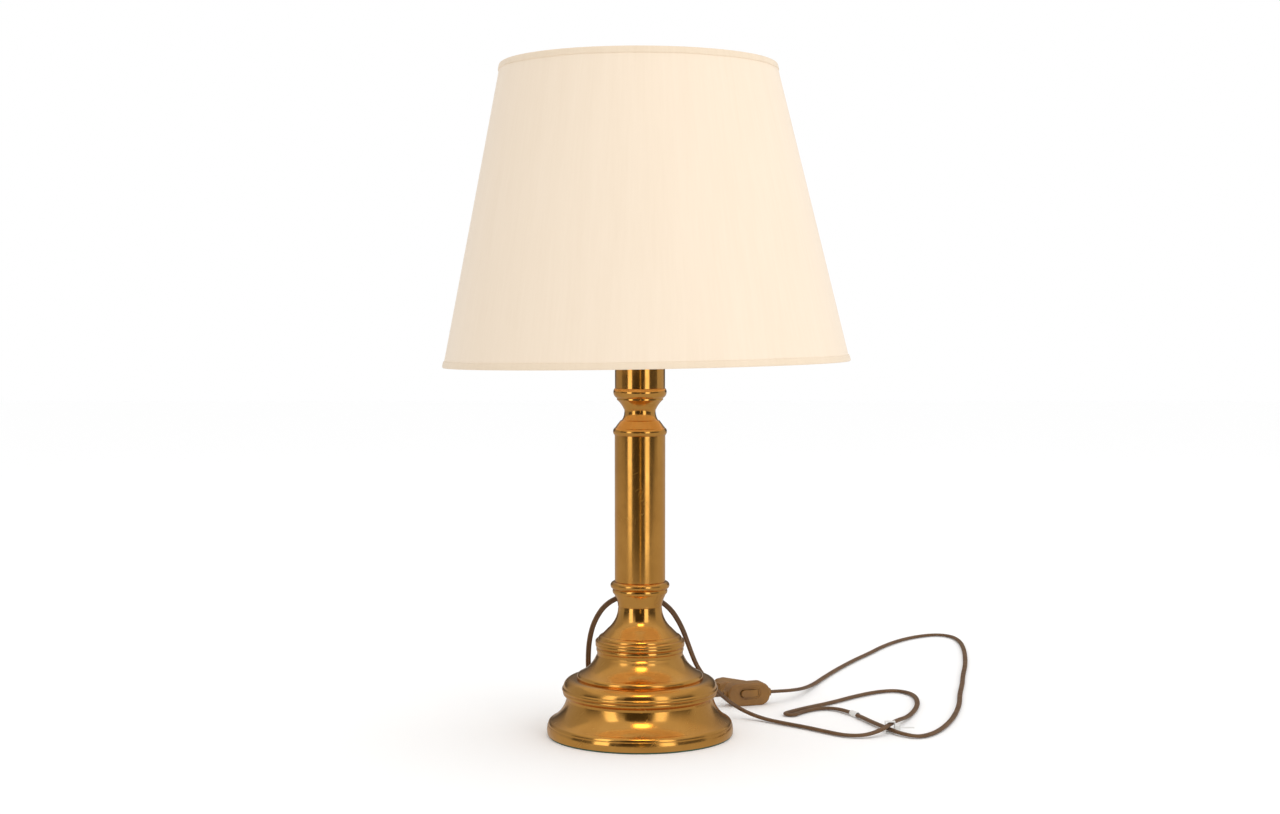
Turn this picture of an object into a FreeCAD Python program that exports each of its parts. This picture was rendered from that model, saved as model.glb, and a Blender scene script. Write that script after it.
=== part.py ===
import FreeCAD, Part
import math
import os

os.makedirs("parts", exist_ok=True)
V = FreeCAD.Vector
UP = V(0, 0, 1)

# A brass candlestick lamp with a conical fabric shade, its flex, in-line switch and plug.
# Millimetres. Z is the lamp's axis, the lamp stands on z = 0 and its front looks along -Y.

# ---- Fits
running_gap = 0.3        # between curved faces, threads included
wire_gap = 0.1           # beside a wire that is welded or glued

# ---- Base pad and foot
pad_thickness = 1.5
foot_radius = 91.7
pad_inset = 1.2
rim_height = 8.9
rim_wall = 3.2
rim_step = 0.4
bead_height = 4.5
rim_shelf = 3.7          # from the rim in to the foot of the scotia
scotia_width = 15.3
scotia_height = 20.6
waist_height = 3.4
torus_overhang = 3.2      # beyond the waist
torus_reed_height = 4.4
torus_height = 8.5
ovolo_width = 9.9
foot_wall = 2.6
foot_opening_inset = 10.0
ledge_width = 6.0
ledge_height = 3.0
ledge_drop = 4.5         # under the torus
torus_undercut = 0.9
vault_bevel = 4.0
rim_taper = 1.5

# ---- Bell, from the foot's shelf to the top of the reeded collar
bell_bead_inset = 3.8    # from the edge of the shelf
bell_bead_height = 4.8
bell_bead_step = 2.2
bell_flare_height = 16.5
bell_neck_radius = 42.4
bell_cove_height = 1.9
bell_neck_height = 3.2
reed_height = 4.1
collar_grooves = (42.7, 43.7, 41.6, 38.0)    # radius at the top of each reed
collar_bulges = (0.15, 0.17, 0.30, 0.14)     # how far each reed swells, as a share of its chord
bell_cove_ease = 1.2
bell_wall = 2.5
bell_lip_height = 3.0
web_bevel = 1.0
spigot_depth = 3.0

# ---- Neck, with the ring that the column stands on
trumpet_foot_radius = 37.8
trumpet_cone_height = 6.3
trumpet_cove_height = 19.8
neck_radius = 21.7
neck_step = 0.3
neck_band_height = 4.5
neck_band_swell = 0.2
cavetto_height = 10.3
cavetto_radius = 25.9
small_ring_radius = 26.3
small_ring_height = 5.0
large_ring_radius = 27.5
large_ring_height = 7.0
neck_wall = 3.5

# ---- Column
column_radius = 24.9
column_wall = 2.0
column_height = 144.1
column_spigot = 5.0
column_seat = 0.6        # of the rings at its ends, beyond the column

# ---- Capital
capital_bead_height = 6.8
capital_bead_radius = 25.4
capital_groove = 0.6
capital_seam = 0.3
capital_cone_radius = 19.2
capital_cone_height = 7.7
capital_step = 1.3
capital_neck_radius = 15.5
capital_neck_height = 10.8
capital_flare_radius = 22.0
capital_flare_height = 9.0
capital_ledge_radius = 22.7
capital_ledge_height = 2.1
capital_rim_radius = 25.2
capital_rim_height = 9.5

# ---- Cup
cup_radius = 24.6
cup_wall = 1.5
cup_floor = 2.5
cup_height = 54.0

# ---- Threaded rod, nuts and ballast
rod_radius = 5.0
rod_bore_radius = 4.0
rod_end = 2.0            # how far the rod stands out of its lowest nut
nut_flats = 17.0
nut_height = 6.0
washer_radius = 14.0
washer_thickness = 2.5
ballast_gap = 0.5
ballast_thickness = 12.0

# ---- Lampholder
cap_boss_radius = 9.0
cap_boss_height = 4.0
cap_dome_height = 8.0
cap_skirt_height = 4.0
cap_wall = 4.0
cap_collar = 2.5         # of the cap's threaded hole, over its boss
holder_above_cup = 4.0   # cap's skirt top over the cup's rim
holder_radius = 19.3
shell_wall = 2.1
shell_bevel = 0.8
shell_height = 46.0
flange_radius = 21.5
flange_height = 10.0     # of its underside, over the cap
flange_thickness = 2.0
core_height = 22.0
core_floor = 11.0
core_wall = 2.3
sleeve_radius = 14.3
sleeve_wall = 0.5
sleeve_height = 30.0
contact_radius = 5.0
contact_thickness = 2.5

# ---- Shade rings
ring_radius = 28.0
ring_lip = 2.5
ring_hub_radius = 24.0
seat_ring_height = 6.0
clamp_ring_height = 10.0
clamp_notches = 24
clamp_notch_radius = 0.9
fitter_thickness = 1.5
fitter_radius = 33.0
fitter_slack = 1.2

# ---- Shade, measured over its trims
shade_top_radius = 135.5
shade_top_z = 657.0
shade_top_x = -1.6
shade_foot_radius = 199.7
shade_foot_z = 366.0
shade_foot_x = 6.2
shade_foot_tilt = 1.0    # degrees, its +X side high
skin_thickness = 0.8
trim_height = 6.0
trim_thickness = 1.0
wire_radius = 1.5
wire_inset = 2.2         # from the shade's edge to its wire
arm_count = 3
arm_first_angle = 90.0
arm_straight = 9.0

# ---- Bulb
bulb_cap_radius = 13.2
bulb_cap_height = 22.0
bulb_insulator_height = 4.0
bulb_insulator_radius = 9.5
bulb_button_radius = 4.5
bulb_cap_bevel = 2.0
bulb_cap_floor = 3.0
bulb_radius = 30.0
bulb_glass_height = 79.0
bulb_glass_wall = 0.8
bulb_tip_radius = 2.0
bulb_neck_radius = 13.0
bulb_throat_radius = 14.0
bulb_throat_height = 9.0
bulb_shoulder_radius = 27.5
bulb_shoulder_drop = 11.0    # below the globe's middle
bulb_stem_height = 32.0
bulb_stem_radius = 3.0
bulb_stem_waist = 6.0        # over the foot of the glass
filament_height = 12.0
filament_span = 11.0
filament_wire_radius = 0.4

# ---- Flex
flex_radius = 2.2
flex_lead = 9.0          # straight out of the bushing and of the switch
plug_lead = 14.0         # straight into the plug
bushing_z = 7.2          # height of the flex where it leaves the foot
bushing_flange_radius = 4.4
bushing_flange = 1.6
bushing_hole_radius = 3.4

# ---- Switch, standing on its long edge, turned by switch_yaw about Z
switch_length = 47.0
switch_height = 24.0
switch_thickness = 18.0
switch_corner = 10.5
switch_edge = 2.0
switch_centre = V(113.5, 142.0, switch_height / 2)
switch_yaw = 18.0
switch_boss_radius = 4.2
switch_boss_length = 3.0
rocker_length = 20.0
rocker_height = 7.4
rocker_depth = 7.0       # of the pocket it sits in
rocker_thickness = 4.2
rocker_crown = 1.2
rocker_room = 0.6        # at either end of it
rocker_side_room = 0.4
dish_rim = 2.5           # around the rocker
dish_depth = 0.6
rocker_rise = 1.6        # of its middle over the switch's face
rocker_tilt = 8.0        # either side of level
rocker_z = 1.5           # over the switch's middle
pivot_radius = 1.0
pivot_length = 10.0
pivot_depth = 3.0        # behind the switch's face
screw_radius = 1.6
screw_head_radius = 2.8
screw_head = 1.8
screw_sink = 0.4
screw_length = 11.0
screw_spacing = 33.0

# ---- Plug, lying flat, turned by plug_yaw about Z
plug_end = V(83.0, 190.0, 7.0)               # where the flex enters it
plug_yaw = 50.0
plug_length = 34.0
plug_width = 35.0
plug_thickness = 13.7
plug_nose_width = 12.0
plug_shoulder = 20.0     # from the flex end to the full width
plug_corner = 3.0
plug_hollow = 2.0        # of its shoulders
pin_tip = 1.2
pin_radius = 2.0
pin_length = 19.0
pin_spacing = 18.6
pin_root = 6.0

# ---- Tie and marker on the flex
tie_centre = V(248.0, 4.0, 0)
tie_width = 5.0
tie_thickness = 0.8
tie_room = 8.6           # inside, across the two strands
tie_slack = 1.2          # inside, over the two strands
tie_tail_width = 3.0
tie_head = 5.0
tie_tail = 14.0
marker_length = 13.0
marker_thickness = 0.6

# ---- Widths of the base, which follow the foot's
pad_radius = foot_radius - pad_inset
scotia_foot_radius = foot_radius - rim_shelf
scotia_radius = scotia_foot_radius - scotia_width
torus_edge_radius = scotia_radius + torus_overhang
shelf_radius = torus_edge_radius - ovolo_width
foot_opening_radius = shelf_radius - foot_opening_inset
bell_bead_radius = shelf_radius - bell_bead_inset
bell_flare_radius = bell_bead_radius - bell_bead_step
ballast_radius = scotia_radius - foot_wall - ballast_gap

# ---- Heights that follow
foot_z = pad_thickness
rim_top_z = foot_z + rim_height
scotia_z = rim_top_z + bead_height
waist_z = scotia_z + scotia_height
torus_z = waist_z + waist_height
torus_reeds_z = torus_z + 2 * torus_reed_height
shelf_z = torus_reeds_z + torus_height
flare_z = shelf_z + bell_bead_height
bell_neck_z = flare_z + bell_flare_height + bell_cove_height
collar_z = bell_neck_z + bell_neck_height
bell_top_z = collar_z + reed_height * len(collar_grooves)
trumpet_z = bell_top_z + trumpet_cone_height
narrow_z = trumpet_z + trumpet_cove_height
band_z = narrow_z + neck_band_height
cavetto_z = band_z + cavetto_height
small_ring_z = cavetto_z + small_ring_height
column_z = small_ring_z + large_ring_height
column_top_z = column_z + column_height
groove_z = column_top_z + capital_bead_height
capital_cone_z = groove_z + capital_cone_height
capital_neck_z = capital_cone_z + capital_neck_height
capital_flare_z = capital_neck_z + capital_flare_height
capital_rim_z = capital_flare_z + capital_ledge_height
cup_z = capital_rim_z + capital_rim_height
cup_top_z = cup_z + cup_height
ledge_z = torus_z - ledge_drop
ballast_z = ledge_z - ballast_thickness
washer_z = ballast_z - washer_thickness
lower_nut_z = washer_z - nut_height
rod_z = lower_nut_z - rod_end
cap_top_z = cup_top_z + holder_above_cup
cap_z = cap_top_z - cap_skirt_height - cap_dome_height - cap_boss_height
rod_top_z = cap_z + cap_boss_height + cap_collar
flange_z = cap_top_z + flange_height
seat_ring_z = flange_z + flange_thickness
fitter_z = seat_ring_z + seat_ring_height + running_gap
clamp_ring_z = fitter_z + fitter_thickness + running_gap
contact_z = cap_top_z + core_floor
bulb_z = contact_z + contact_thickness
bulb_cap_z = bulb_z + bulb_insulator_height
glass_z = bulb_cap_z + bulb_cap_height
shade_height = shade_top_z - shade_foot_z
shade_margin = 20.0
rod_hole_radius = rod_radius + running_gap
spigot_radius = column_radius - column_wall - running_gap

written = []


def save(name, shape):
    shape.exportStep("parts/" + name + ".step")
    written.append((name, shape))


def flat(point):
    return V(point[0], 0, point[1])


def bowed(start, end, bulge):
    # The middle of an arc from start to end. Going up, a positive bulge swells away from the axis.
    dr = end[0] - start[0]
    dz = end[1] - start[1]
    return (start[0] + dr / 2 + dz * bulge, start[1] + dz / 2 - dr * bulge)


def turned(start, *steps):
    # Revolves a closed outline. A step is (radius, z) for a line or (radius, z, bulge) for an arc.
    edges = []
    here = start
    for step in steps + (start,):
        there = step[:2]
        if len(step) == 3:
            middle = bowed(here, there, step[2])
            edges.append(Part.Arc(flat(here), flat(middle), flat(there)).toShape())
        else:
            edges.append(Part.makeLine(flat(here), flat(there)))
        here = there
    return Part.Face(Part.Wire(edges)).revolve(V(0, 0, 0), UP, 360)


def tube_path(points):
    # Straight runs joined by arcs, each as large as its two runs allow. Prints the least radius.
    edges = []
    here = points[0]
    least = None
    for before, corner, after in zip(points, points[1:], points[2:]):
        run_in = corner - before
        run_out = after - corner
        half_turn = run_in.getAngle(run_out) / 2
        reach = 0.45 * min(run_in.Length, run_out.Length)
        radius = reach / math.tan(half_turn)
        if least is None or radius < least[0]:
            least = (radius, corner)
        to_corner = V(run_in).normalize()
        from_corner = V(run_out).normalize()
        entry = corner - to_corner * reach
        leave = corner + from_corner * reach
        inward = (from_corner - to_corner).normalize()
        middle = corner + inward * (radius / math.cos(half_turn) - radius)
        edges.append(Part.LineSegment(here, entry).toShape())
        edges.append(Part.Arc(entry, middle, leave).toShape())
        here = leave
    edges.append(Part.LineSegment(here, points[-1]).toShape())
    path = Part.Wire(edges)
    print("  path %.0f long, least bend radius %.1f at %s" % (path.Length, least[0], tuple(least[1])))
    return path


def tube(points, radius):
    path = tube_path(points)
    section = Part.Wire(Part.makeCircle(radius, points[0], points[1] - points[0]))
    solid = path.makePipeShell([section], True, False)
    share = solid.Volume / (math.pi * radius ** 2 * path.Length)
    print("  volume over section times length %.4f" % share)
    return solid


def box_on(centre, size):
    return Part.makeBox(size.x, size.y, size.z, centre - size / 2)


def direction(yaw):
    return V(math.cos(math.radians(yaw)), math.sin(math.radians(yaw)), 0)


def hexagon_nut(z):
    corners = []
    across = nut_flats / math.sqrt(3)
    for index in range(7):
        angle = math.radians(60 * index)
        corners.append(V(across * math.cos(angle), across * math.sin(angle), z))
    nut = Part.Face(Part.makePolygon(corners)).extrude(UP * nut_height)
    return nut.cut(Part.makeCylinder(rod_hole_radius, nut_height, V(0, 0, z)))


# ---- Foot: rim, bead, scotia, two reeds and an ovolo, cast hollow and open below
def make_foot():
    rim_inner = foot_radius - rim_wall
    waist_inner = scotia_radius - foot_wall
    foot = turned(
        (rim_inner, foot_z),
        (foot_radius, foot_z),
        (foot_radius - rim_step, rim_top_z, 0.06),
        (foot_radius - 2 * rim_step, rim_top_z + rim_step / 2),
        (scotia_foot_radius, scotia_z, 0.18),
        (scotia_radius, waist_z, -0.102),
        (scotia_radius, torus_z - torus_undercut),
        (scotia_radius + torus_undercut, torus_z),
        (torus_edge_radius, torus_z + torus_reed_height, 0.25),
        (torus_edge_radius, torus_reeds_z, 0.28),
        (shelf_radius, shelf_z, 0.2),
        (foot_opening_radius, shelf_z),
        (foot_opening_radius, shelf_z - foot_wall),
        (waist_inner - vault_bevel, shelf_z - foot_wall),
        (waist_inner, shelf_z - foot_wall - vault_bevel),
        (waist_inner, ledge_z + ledge_height),
        (waist_inner - ledge_width, ledge_z + ledge_height),
        (waist_inner - ledge_width, ledge_z),
        (waist_inner, ledge_z),
        (scotia_foot_radius - foot_wall, scotia_z - foot_wall, 0.102),
        (rim_inner, rim_top_z - rim_taper),
    )
    hole = Part.makeCylinder(bushing_hole_radius + running_gap, 4 * rim_wall,
                             V(0, rim_inner - 2 * rim_wall, bushing_z), V(0, 1, 0))
    return foot.cut(hole)


# ---- Bell: bead, hollow flare, neck and a collar of reeds, with a web that the neck stands on
def make_bell():
    outline = [
        (foot_opening_radius - running_gap, shelf_z - spigot_depth),
        (foot_opening_radius - running_gap, shelf_z),
        (bell_bead_radius, shelf_z),
        (bell_flare_radius, flare_z, 0.2),
        (bell_neck_radius + bell_cove_ease, flare_z + bell_flare_height, -0.095),
        (bell_neck_radius, bell_neck_z),
        (bell_neck_radius, collar_z),
    ]
    z = collar_z
    for groove, bulge in zip(collar_grooves, collar_bulges):
        z += reed_height
        outline.append((groove, z, bulge))
    inside = bell_neck_radius - bell_wall
    lip = foot_opening_radius - running_gap - bell_wall
    outline += [
        (rod_hole_radius, bell_top_z),
        (rod_hole_radius, bell_top_z - bell_wall),
        (inside - web_bevel, bell_top_z - bell_wall - web_bevel),
        (inside, collar_z),
        (inside, bell_neck_z - web_bevel),
        (lip, flare_z + bell_lip_height, 0.095),
    ]
    return turned((lip, shelf_z - spigot_depth), *outline)


# ---- Neck: trumpet, band, cavetto and two rings, with a spigot inside the column
def make_neck():
    trumpet_waist = trumpet_foot_radius - trumpet_cone_height
    bore = neck_radius - neck_wall
    return turned(
        (trumpet_foot_radius - neck_wall, bell_top_z),
        (trumpet_foot_radius, bell_top_z),
        (trumpet_waist, trumpet_z),
        (neck_radius, narrow_z, -0.1),
        (neck_radius - neck_step, band_z - neck_band_height / 2),
        (neck_radius + neck_band_swell, band_z - neck_band_height / 2 + neck_band_swell),
        (neck_radius + neck_band_swell, band_z),
        (cavetto_radius, cavetto_z, -0.03),
        (small_ring_radius, cavetto_z),
        (small_ring_radius, small_ring_z, 0.17),
        (large_ring_radius, small_ring_z),
        (column_radius + column_seat, column_z, 0.36),
        (spigot_radius, column_z),
        (spigot_radius, column_z + column_spigot),
        (rod_hole_radius, column_z + column_spigot),
        (rod_hole_radius, small_ring_z),
        (bore, cavetto_z),
        (bore, narrow_z - neck_wall),
        (trumpet_waist - neck_wall, trumpet_z, 0.1),
    )


def make_column():
    inside = column_radius - column_wall
    return turned((inside, column_z), (column_radius, column_z),
                  (column_radius, column_top_z), (inside, column_top_z))


# ---- Capital: bead, cone, hollow neck and an ovolo flange under the cup
def make_capital():
    step_radius = capital_cone_radius - capital_step
    return turned(
        (rod_hole_radius, column_top_z - column_spigot),
        (spigot_radius, column_top_z - column_spigot),
        (spigot_radius, column_top_z),
        (column_radius, column_top_z),
        (capital_bead_radius, groove_z, 0.2),
        (capital_bead_radius - capital_groove, groove_z + capital_seam),
        (capital_cone_radius, capital_cone_z),
        (step_radius, capital_cone_z + capital_seam),
        (capital_neck_radius, capital_neck_z, -0.09),
        (capital_neck_radius + capital_seam, capital_neck_z + capital_seam),
        (capital_flare_radius, capital_flare_z, -0.05),
        (capital_ledge_radius, capital_flare_z + capital_seam),
        (capital_ledge_radius, capital_rim_z),
        (capital_ledge_radius + capital_seam, capital_rim_z + capital_seam),
        (capital_rim_radius, cup_z, 0.21),
        (rod_hole_radius, cup_z),
    )


def make_cup():
    inside = cup_radius - cup_wall
    return turned((rod_hole_radius, cup_z), (cup_radius, cup_z), (cup_radius, cup_top_z),
                  (inside, cup_top_z), (inside, cup_z + cup_floor), (rod_hole_radius, cup_z + cup_floor))


def washer(inner, outer, z, height):
    return turned((inner, z), (outer, z), (outer, z + height), (inner, z + height))


# ---- Lampholder: domed cap, threaded shell with a flange, insulating core, sleeve and contact
def make_holder_cap():
    boss_z = cap_z + cap_boss_height
    dome_z = boss_z + cap_dome_height
    rim = holder_radius
    return turned(
        (rod_hole_radius, cap_z),
        (cap_boss_radius, cap_z),
        (cap_boss_radius, boss_z),
        (rim, dome_z, 0.22),
        (rim, cap_top_z),
        (rim - cap_wall, cap_top_z),
        (rim - cap_wall, dome_z),
        (cap_boss_radius, rod_top_z),
        (rod_hole_radius, rod_top_z),
    )


def make_holder_shell():
    inside = holder_radius - shell_wall
    top = cap_top_z + shell_height
    return turned(
        (inside, cap_top_z),
        (holder_radius, cap_top_z),
        (holder_radius, flange_z),
        (flange_radius, flange_z),
        (flange_radius, seat_ring_z),
        (holder_radius, seat_ring_z),
        (holder_radius, top - shell_bevel),
        (holder_radius - shell_bevel, top),
        (inside, top),
    )


def make_holder_core():
    outer = holder_radius - shell_wall - running_gap
    well = outer - core_wall
    return turned((0, cap_top_z), (outer, cap_top_z), (outer, cap_top_z + core_height),
                  (well, cap_top_z + core_height), (well, contact_z), (0, contact_z))


# ---- Shade rings, one under the fitter and one that clamps it
def make_seat_ring():
    bore = holder_radius + running_gap
    top = seat_ring_z + seat_ring_height
    return turned((bore, seat_ring_z), (ring_hub_radius, seat_ring_z),
                  (ring_hub_radius, top - ring_lip), (ring_radius, top - ring_lip),
                  (ring_radius, top), (bore, top))


def make_clamp_ring():
    bore = holder_radius + running_gap
    top = clamp_ring_z + clamp_ring_height
    ring = turned((bore, clamp_ring_z), (ring_radius, clamp_ring_z),
                  (ring_radius, clamp_ring_z + ring_lip), (ring_hub_radius, clamp_ring_z + 2 * ring_lip),
                  (ring_hub_radius, top), (bore, top))
    notches = []
    for index in range(clamp_notches):
        centre = direction(360.0 * index / clamp_notches) * ring_radius
        notches.append(Part.makeCylinder(clamp_notch_radius, clamp_ring_height, centre + UP * clamp_ring_z))
    return ring.cut(Part.Compound(notches))


# ---- Shade: a cone that leans a little, cut level at its top and tilted at its foot
tilt_angle = math.radians(shade_foot_tilt)
foot_reach = V(shade_foot_radius * math.cos(tilt_angle), 0, shade_foot_radius * math.sin(tilt_angle))
foot_centre = V(shade_foot_x, 0, shade_foot_z)
top_reach = V(shade_top_radius, 0, 0)
top_centre = V(shade_top_x, 0, shade_top_z)
left_side = (foot_centre - foot_reach) - (top_centre - top_reach)
right_side = (foot_centre + foot_reach) - (top_centre + top_reach)
left_lean = math.atan2(-left_side.x, -left_side.z)
right_lean = math.atan2(right_side.x, -right_side.z)
cone_angle = (left_lean + right_lean) / 2
cone_lean = (right_lean - left_lean) / 2
apex_drop = 2 * shade_top_radius / (math.tan(left_lean) + math.tan(right_lean))
apex = top_centre - top_reach + V(math.tan(left_lean), 0, 1) * apex_drop
cone_axis = V(math.sin(cone_lean), 0, -math.cos(cone_lean))


def shade_level(share, inset):
    # Centre, radius and tilt of the level at this share of the way from the foot to the top.
    centre = foot_centre * (1 - share) + top_centre * share
    across = foot_reach * (1 - share) + top_reach * share
    return centre, across.Length - inset, math.degrees(math.atan2(across.z, across.x))


def shade_cone(inset):
    near = apex_drop - shade_margin
    far = apex_drop + shade_height + shade_margin
    slope = math.tan(cone_angle)
    return Part.makeCone(near * slope - inset, far * slope - inset, far - near,
                         apex + cone_axis * near, cone_axis)


def half_space(share, side):
    # A block that ends at the level given, above it for side 1 and below it for side -1.
    centre, radius, tilt = shade_level(share, 0)
    reach = 2 * shade_foot_radius
    block = Part.makeBox(2 * reach, 2 * reach, reach, V(-reach, -reach, 0 if side > 0 else -reach))
    block.rotate(V(0, 0, 0), V(0, 1, 0), -tilt)
    block.translate(centre)
    return block


def shade_band(low, high, outer_inset, inner_inset):
    ring = shade_cone(outer_inset).cut(shade_cone(inner_inset))
    return ring.common(half_space(low, 1)).common(half_space(high, -1))


def shade_wire(share, inset):
    centre, radius, tilt = shade_level(share, inset)
    wire = Part.makeTorus(radius, wire_radius)
    wire.rotate(V(0, 0, 0), V(0, 1, 0), -tilt)
    wire.translate(centre)
    return wire


trim_share = trim_height / shade_height
wire_share = wire_inset / shade_height
wire_depth = trim_thickness + skin_thickness + running_gap + wire_gap + wire_radius


def arm_points(angle):
    # From under the fitter to the bottom wire, which its end is welded to.
    centre, radius, tilt = shade_level(wire_share, wire_depth)
    local = direction(angle) * radius
    weld = centre + V(local.x * math.cos(math.radians(tilt)), local.y, local.x * math.sin(math.radians(tilt)))
    outward = V(weld.x, weld.y, 0).normalize()
    level = UP * (fitter_z - wire_radius - wire_gap)
    near = outward * (ring_radius + running_gap) + level
    bend = outward * (ring_radius + running_gap + arm_straight) + level
    return [near, bend, weld - (weld - bend).normalize() * (wire_radius + wire_gap)]


# ---- Bulb: button and insulator, cap, glass, stem and filament
def make_bulb_contact():
    return turned((0, bulb_z), (bulb_button_radius, bulb_z), (bulb_insulator_radius, bulb_cap_z),
                  (0, bulb_cap_z))


def make_bulb_cap():
    inside = bulb_cap_radius - sleeve_wall
    return turned((0, bulb_cap_z), (bulb_insulator_radius, bulb_cap_z), (bulb_cap_radius, bulb_cap_z + bulb_cap_bevel),
                  (bulb_cap_radius, glass_z), (inside, glass_z),
                  (inside, bulb_cap_z + bulb_cap_floor), (0, bulb_cap_z + bulb_cap_floor))


def make_bulb_glass():
    top = glass_z + bulb_glass_height
    globe_z = top - bulb_radius
    throat_z = glass_z + bulb_throat_height
    shoulder_z = globe_z - bulb_shoulder_drop
    wall = bulb_glass_wall
    return turned(
        (bulb_neck_radius - wall, glass_z),
        (bulb_neck_radius, glass_z),
        (bulb_throat_radius, throat_z),
        (bulb_shoulder_radius, shoulder_z, -0.06),
        (bulb_radius, globe_z, 0.05),
        (bulb_tip_radius, top, 0.2),
        (0, top),
        (0, top - wall),
        (bulb_tip_radius, top - wall),
        (bulb_radius - wall, globe_z, -0.2),
        (bulb_shoulder_radius - wall, shoulder_z, -0.05),
        (bulb_throat_radius - wall, throat_z, 0.06),
    )


def make_bulb_stem():
    foot = bulb_cap_radius - sleeve_wall - running_gap
    base = bulb_cap_z + bulb_cap_floor
    top = glass_z + bulb_stem_height
    return turned((0, base), (foot, base), (foot, base + bulb_cap_floor),
                  (bulb_stem_radius, glass_z + bulb_stem_waist, -0.1), (bulb_stem_radius, top), (0, top))


def make_filament():
    base = glass_z + bulb_stem_height + filament_wire_radius
    spread = filament_span / 2
    leads = []
    for side in (-1, 1):
        foot = V(side * bulb_stem_radius / 2, 0, base)
        tip = V(side * spread, 0, base + filament_height)
        leads.append(Part.makeCylinder(filament_wire_radius, (tip - foot).Length, foot, tip - foot))
    coil = Part.makeCylinder(2 * filament_wire_radius, filament_span, V(-spread, 0, base + filament_height),
                             V(1, 0, 0))
    return coil.fuse(leads)


# ---- Switch: a stadium-ended case in two halves with a rocker across its face
def stadium(length, height, corner, depth):
    # Centred on the origin in X and Z, from y = 0 to y = depth.
    slab = Part.makeBox(length, depth, height, V(-length / 2, 0, -height / 2))
    sides = [edge for edge in slab.Edges if abs(edge.tangentAt(edge.FirstParameter).y) > 0.99]
    return slab.makeFillet(corner, sides)


def in_switch(shape):
    placed = shape.copy()
    placed.rotate(V(0, 0, 0), UP, switch_yaw)
    placed.translate(switch_centre)
    return placed


def switch_end(side, beyond=0.0):
    # The middle of the boss's face on that side, or a point straight out from it.
    reach = switch_length / 2 + switch_boss_length + beyond
    return switch_centre + direction(switch_yaw) * (side * reach)


def make_switch_halves():
    half = switch_thickness / 2
    body = stadium(switch_length, switch_height, switch_corner, switch_thickness)
    body.translate(V(0, -half, 0))
    rims = [edge for edge in body.Edges if abs(abs(edge.CenterOfMass.y) - half) < 0.01]
    body = body.makeFillet(switch_edge, rims)
    reach = switch_length / 2 + switch_boss_length
    body = body.fuse(Part.makeCylinder(switch_boss_radius, 2 * reach, V(-reach, 0, 0), V(1, 0, 0)))
    pocket = stadium(rocker_length + 2 * rocker_room, rocker_height + 2 * rocker_side_room,
                     rocker_height / 2, rocker_depth)
    pocket.translate(V(0, -half, rocker_z))
    dish = stadium(rocker_length + 2 * dish_rim, rocker_height + 2 * dish_rim,
                   rocker_height / 2 + dish_rim - running_gap, dish_depth)
    dish.translate(V(0, -half, rocker_z))
    hinge = Part.makeCylinder(pivot_radius + running_gap, pivot_length + 2 * running_gap,
                              V(0, rocker_pivot_y(), rocker_z - pivot_length / 2 - running_gap))
    body = body.cut([pocket, dish, hinge])
    for side in (-1, 1):
        x = side * screw_spacing / 2
        shank = Part.makeCylinder(screw_radius + running_gap, screw_length + screw_head,
                                  V(x, half - screw_length - screw_head, 0), V(0, 1, 0))
        head = Part.makeCylinder(screw_head_radius + running_gap, 2 * screw_head, V(x, half - screw_head, 0),
                                 V(0, 1, 0))
        body = body.cut([shank, head])
    span = V(2 * reach, switch_thickness, 2 * switch_height)
    front = body.common(box_on(V(0, -span.y / 2, 0), span))
    back = body.common(box_on(V(0, span.y / 2, 0), span))
    return in_switch(front), in_switch(back)


def rocker_pivot_y():
    return -switch_thickness / 2 + pivot_depth


def make_rocker():
    front = -switch_thickness / 2 - rocker_rise
    rocker = stadium(rocker_length, rocker_height, rocker_height / 2 - running_gap, rocker_thickness)
    rocker.translate(V(0, front, rocker_z))
    half = rocker_length / 2
    clear = front - rocker_crown
    edge = front + rocker_crown
    face = [V(-half, clear, 0), V(-half, edge, 0), V(half, edge, 0), V(half, clear, 0)]
    crown = Part.Wire([
        Part.makeLine(face[0], face[1]),
        Part.Arc(face[1], V(0, front, 0), face[2]).toShape(),
        Part.makeLine(face[2], face[3]),
        Part.makeLine(face[3], face[0]),
    ])
    waste = Part.Face(crown).extrude(UP * switch_height)
    waste.translate(V(0, 0, -switch_height / 2))
    pin = Part.makeCylinder(pivot_radius, pivot_length, V(0, rocker_pivot_y(), rocker_z - pivot_length / 2))
    rocker = rocker.cut(waste).fuse(pin)
    rocker.rotate(V(0, rocker_pivot_y(), 0), UP, rocker_tilt)
    return in_switch(rocker)


def make_screws():
    half = switch_thickness / 2
    screws = []
    for side in (-1, 1):
        x = side * screw_spacing / 2
        shank = Part.makeCylinder(screw_radius, screw_length, V(x, half - screw_length - screw_head, 0),
                                  V(0, 1, 0))
        head = Part.makeCylinder(screw_head_radius, screw_head - screw_sink, V(x, half - screw_head, 0),
                                 V(0, 1, 0))
        screws.append(in_switch(shank.fuse(head)))
    return Part.Compound(screws)


# ---- Plug: a flat body that widens from the flex to its two pins
def in_plug(shape):
    placed = shape.copy()
    placed.rotate(V(0, 0, 0), UP, plug_yaw)
    placed.translate(plug_end)
    return placed


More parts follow.
